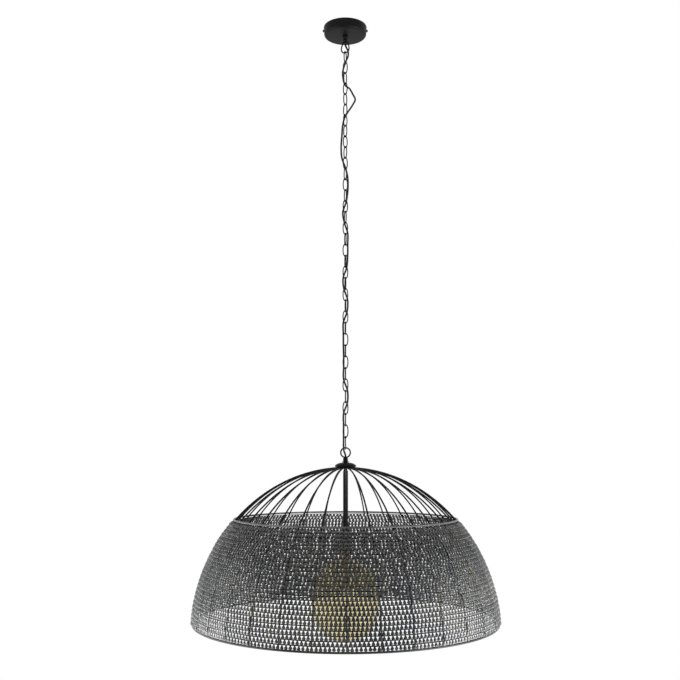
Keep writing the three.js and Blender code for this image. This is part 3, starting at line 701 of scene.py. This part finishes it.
# Stem tube and lampholder: a steel tube painted black, screwed up to the shade loop's shank, and a holder of
# two black moulded shells at its foot, the lower with a collar round the bulb's cap.
holder_black = finish("holder_black", (0.012, 0.012, 0.012), (0.018, 0.018, 0.018), (0.4, 0.55), grain=600)
tube_outline = [
    (0.0053, -1.3789), (0.0063, -1.3789), (0.0065, -1.3787), (0.0065, -1.2241), (0.0063, -1.2239),
    (0.0053, -1.2239),
]
holder_cap_outline = [
    (0.0031, -1.3869), (0.018, -1.3869), (0.018, -1.3843), *rounded(0.0128, -1.3835, 0.0052, 10, 80),
    (0.0104, -1.3712), (0.0094, -1.3679), (0.0068, -1.3679), (0.0068, -1.3792), (0.0031, -1.3792),
]
holder_body_outline = [
    (0, -1.3902), (0.0154, -1.3902), (0.0154, -1.4292), (0.0174, -1.4292), (0.018, -1.4286),
    (0.018, -1.4156), (0.0172, -1.4148), (0.0172, -1.3902), (0.018, -1.3896), (0.018, -1.3874),
    (0.0178, -1.3872), (0, -1.3872),
]
fitted("stem_pipe", turned(tube_outline, segments=40), black_paint, "shade", "stem_tube")
for name, outline, node in (
    ("holder_cap_shell", holder_cap_outline, "lampholder_cap"),
    ("holder_body_shell", holder_body_outline, "lampholder_body"),
):
    fitted(name, turned(outline, segments=48), holder_black, "shade", node)

# Bulb: a screw cap rolled from nickel-plated brass, a clear amber globe of thin blown glass cemented to it,
# and the glowing part inside, a cage of coated rods between two wheels.
thread_radius, thread_depth, thread_foot, thread_rise = 0.0128, 0.0004, -1.418, 0.0205
thread_steps, steps_a_turn = 60, 10
globe_radius, globe_crown, globe_neck, globe_middle, glass_thickness = 0.087, 0.12, 0.0132, -1.5702, 0.0012
crown_fullness, crown_start, crown_steps, bowl_steps = 1.2, 4, 33, 30
nickel = finish("nickel", (0.5, 0.48, 0.44), (0.62, 0.6, 0.56), (0.18, 0.35), metallic=1.0, grain=500,
                cloud=80)
phosphor = finish("phosphor", (0.3, 0.16, 0.05), (0.42, 0.24, 0.08), (0.4, 0.6), grain=600)
amber_glass = bpy.data.materials.new("amber_glass")
amber_glass.use_nodes = True
shader = amber_glass.node_tree.nodes["Principled BSDF"]
shader.inputs["Base Color"].default_value = (0.83, 0.77, 0.58, 1)
shader.inputs["Transmission Weight"].default_value = 1
shader.inputs["Roughness"].default_value = 0.02
shader.inputs["IOR"].default_value = 1.2
surface = amber_glass.node_tree.nodes.new("ShaderNodeGroup")
surface.node_tree = grain_and_clouds
surface.inputs["Grain Scale"].default_value = 14
surface.inputs["Bump"].default_value = 0.05
amber_glass.node_tree.links.new(surface.outputs["Normal"], shader.inputs["Normal"])


def globe_face(inset):
    """Radii and heights of the globe's outside, or that far inside it, from its neck down to its foot."""
    radius, crown, neck = globe_radius - inset, globe_crown - inset, globe_neck - inset
    points = [(neck, -1.4203), (neck, -1.4405), (neck + 0.0008, -1.4455), (neck + 0.0045, -1.4492)]
    for i in range(crown_start, crown_steps + 1):
        angle = math.pi / 2 * i / crown_steps
        height = globe_middle + crown * max(math.cos(angle), 0) ** (1 / crown_fullness)
        points.append((radius * math.sin(angle) ** (1 / crown_fullness), height))
    for i in range(1, bowl_steps):
        angle = math.pi / 2 * i / bowl_steps
        points.append((radius * math.cos(angle), globe_middle - radius * math.sin(angle)))
    points.append((0, globe_middle - radius))
    return points


thread = []
for i in range(thread_steps + 1):
    ridge = thread_depth * math.cos(2 * math.pi * i / steps_a_turn)
    thread.append((thread_radius + ridge, thread_foot + thread_rise * i / thread_steps))
screw_cap_outline = [
    (0, -1.42), (0.0132, -1.42), *thread, (0.0118, -1.395), (0.0044, -1.3928), (0.0044, -1.391),
    (0.0038, -1.3905), (0, -1.3905),
]
globe = turned(globe_face(glass_thickness) + list(reversed(globe_face(0))), segments=96)
fitted("screw_cap", turned(screw_cap_outline, segments=48), nickel, "bulb", "bulb_cap")
fitted("amber_globe", globe, amber_glass, "bulb", "bulb_globe", sharp=180)
finished_solid("bulb_filament", phosphor)

# Surround: white all round for the camera, gloss and glass. As light it is dimmer on the side that the lamp's
# front faces, and from above.
world = bpy.data.worlds.new("studio")
bpy.context.scene.world = world
world.use_nodes = True
nodes, links = world.node_tree.nodes, world.node_tree.links
rays = nodes.new("ShaderNodeLightPath")
mirrored = nodes.new("ShaderNodeMath")
mirrored.operation = "MAXIMUM"
links.new(rays.outputs["Is Glossy Ray"], mirrored.inputs[0])
links.new(rays.outputs["Is Transmission Ray"], mirrored.inputs[1])
seen = nodes.new("ShaderNodeMath")
seen.operation = "MAXIMUM"
links.new(rays.outputs["Is Camera Ray"], seen.inputs[0])
links.new(mirrored.outputs["Value"], seen.inputs[1])
heading = nodes.new("ShaderNodeTexCoord")
behind = nodes.new("ShaderNodeVectorMath")
behind.operation = "DOT_PRODUCT"
behind.inputs[1].default_value = (0, 1, -0.8)
links.new(heading.outputs["Generated"], behind.inputs[0])
level = nodes.new("ShaderNodeMapRange")
level.inputs["From Min"].default_value = -0.9
level.inputs["From Max"].default_value = 0.1
level.inputs["To Min"].default_value = 0.06
level.inputs["To Max"].default_value = 0.65
links.new(behind.outputs["Value"], level.inputs["Value"])
white = nodes.new("ShaderNodeMix")
white.inputs["B"].default_value = 1
links.new(seen.outputs["Value"], white.inputs["Factor"])
links.new(level.outputs["Result"], white.inputs["A"])
links.new(white.outputs["Result"], nodes["Background"].inputs["Strength"])
nodes["Background"].inputs["Color"].default_value = (1, 1, 1, 1)

# Lamps: two large soft ones low at the sides, weaker ones behind them that light the skirt's edges, and a
# small share from above for the canopy and the chain.
for name, size, energy, location, aim in (
    ("left", 2.4, 75, (-2.4, -0.5, -2.2), (0, 0, -1.5)),
    ("right", 2.4, 120, (2.2, -0.9, -2.2), (0, 0, -1.5)),
    ("rim_left", 1.6, 24, (-2.8, 1.2, -1.9), (0, 0, -1.5)),
    ("rim_right", 1.6, 14, (2.8, 1.2, -1.9), (0, 0, -1.5)),
    ("top", 1.2, 6, (-0.4, -1.0, 0.9), (0, 0, -1.2)),
):
    data = bpy.data.lights.new(name, "AREA")
    data.size = size
    data.energy = energy
    lamp = bpy.data.objects.new(name, data)
    lamp.location = location
    lamp.rotation_euler = (Vector(aim) - Vector(location)).to_track_quat("-Z", "Y").to_euler()
    lamp.visible_camera = False
    lamp.visible_transmission = False
    bpy.context.collection.objects.link(lamp)
